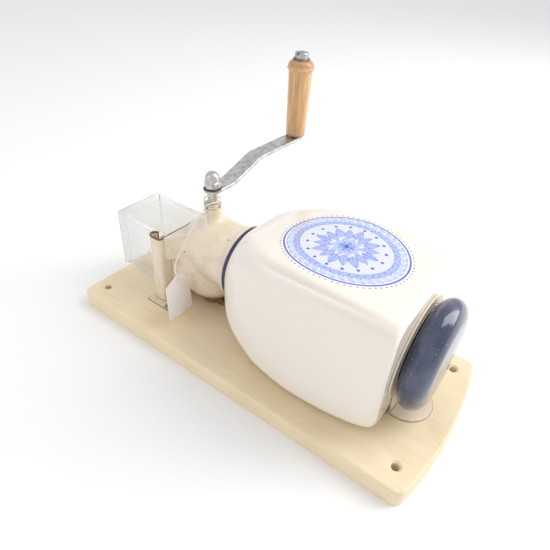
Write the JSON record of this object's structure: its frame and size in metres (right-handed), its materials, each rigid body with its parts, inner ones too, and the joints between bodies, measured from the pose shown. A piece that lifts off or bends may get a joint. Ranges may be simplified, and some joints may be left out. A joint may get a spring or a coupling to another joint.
{
  "type": "wall coffee mill",
  "caption": "Hand-cranked wall coffee mill: ceramic bean jar over a cast conical-burr mill and a glass catch cup, on a painted wooden board.",
  "frame": {"origin": "middle of the board's back face, which lies on the wall", "axes": "+X across the board, +Y up the wall towards the jar's lid, +Z out from the wall along the crank's spindle"},
  "size_m": [0.2191, 0.3593, 0.2306],
  "materials": {
    "board_paint": "cream oil paint on a solid wooden board, satin",
    "body_enamel": "cream stove enamel on cast iron, glossy",
    "holder_paint": "cream enamel on sheet steel, chipped brown along its edges",
    "raw_iron": "unpainted iron, brown with age",
    "jar_glaze": "white glazed earthenware with a blue transfer decoration",
    "lid_gloss": "dark navy, glossy, with fine dust and scratches",
    "gasket_rubber": "dark blue rubber, matt",
    "seal_rubber": "black rubber",
    "cup_glass": "clear pressed glass",
    "arm_nickel": "old nickel plate, pitted",
    "nut_nickel": "old nickel plate",
    "spindle_steel": "turned steel",
    "bolt_steel": "turned steel, slotted head",
    "washer_steel": "steel washer with rust",
    "screw_steel": "steel screws",
    "burr_steel": "hardened steel",
    "spring_steel": "spring steel",
    "bush_brass": "turned brass",
    "grip_wood": "varnished turned beech",
    "string_cotton": "white cotton string",
    "tag_card": "plain white card, blank"
  },
  "bodies": {
    "root": {"wall_board": "board_paint", "holder_screws": "screw_steel", "bracket_screw": "screw_steel", "body_screws": "screw_steel", "mill_body": "body_enamel", "outer_burr": "burr_steel", "burr_ring_pins": "burr_steel", "rear_bearing": "raw_iron", "rear_bush": "bush_brass", "spring": "spring_steel", "cup_holder": "holder_paint", "jar": "jar_glaze", "jar_gasket": "gasket_rubber", "jar_bracket": "holder_paint", "tag_string": "string_cotton", "swing_tag": "tag_card"},
    "carrier": {"thrust_washer": "bush_brass"},
    "adjuster": {"adjusting_bush": "body_enamel"},
    "crank": {"spindle": "spindle_steel", "inner_burr": "burr_steel", "burr_drive_pin": "burr_steel", "crank_arm": "arm_nickel", "crank_nut": "nut_nickel", "handle_bolt": "bolt_steel", "foot_washer": "washer_steel", "top_washer": "washer_steel"},
    "grip": {"handle_grip": "grip_wood"},
    "lid": {"lid": "lid_gloss", "lid_seal": "seal_rubber"},
    "cup": {"glass_cup": "cup_glass"}
  },
  "joints": [
    {"name": "grind_slide", "type": "slide", "parent": "root", "child": "carrier", "axis": [0, 0, 1], "range_m": [0, 0.001], "deforming": ["spring"]},
    {"name": "adjust_turn", "type": "hinge", "parent": "carrier", "child": "adjuster", "pos_m": [0, -0.069, 0.12], "axis": [0, 0, 1], "range_deg": [0, 360]},
    {"name": "crank_turn", "type": "hinge", "parent": "carrier", "child": "crank", "pos_m": [0, -0.069, 0.12], "axis": [0, 0, 1], "continuous": true},
    {"name": "handle_spin", "type": "hinge", "parent": "crank", "child": "grip", "pos_m": [-0.126, -0.069, 0.18], "axis": [0, 0, 1], "continuous": true},
    {"name": "lid_lift", "type": "slide", "parent": "root", "child": "lid", "axis": [0, 1, 0], "range_m": [0, 0.06]},
    {"name": "cup_slide", "type": "slide", "parent": "root", "child": "cup", "axis": [0, 0, 1], "range_m": [0, 0.08]}
  ],
  "couplings": [
    {"joint": "adjust_turn", "follows": "grind_slide", "rad_per_m": 6283.2}
  ]
}
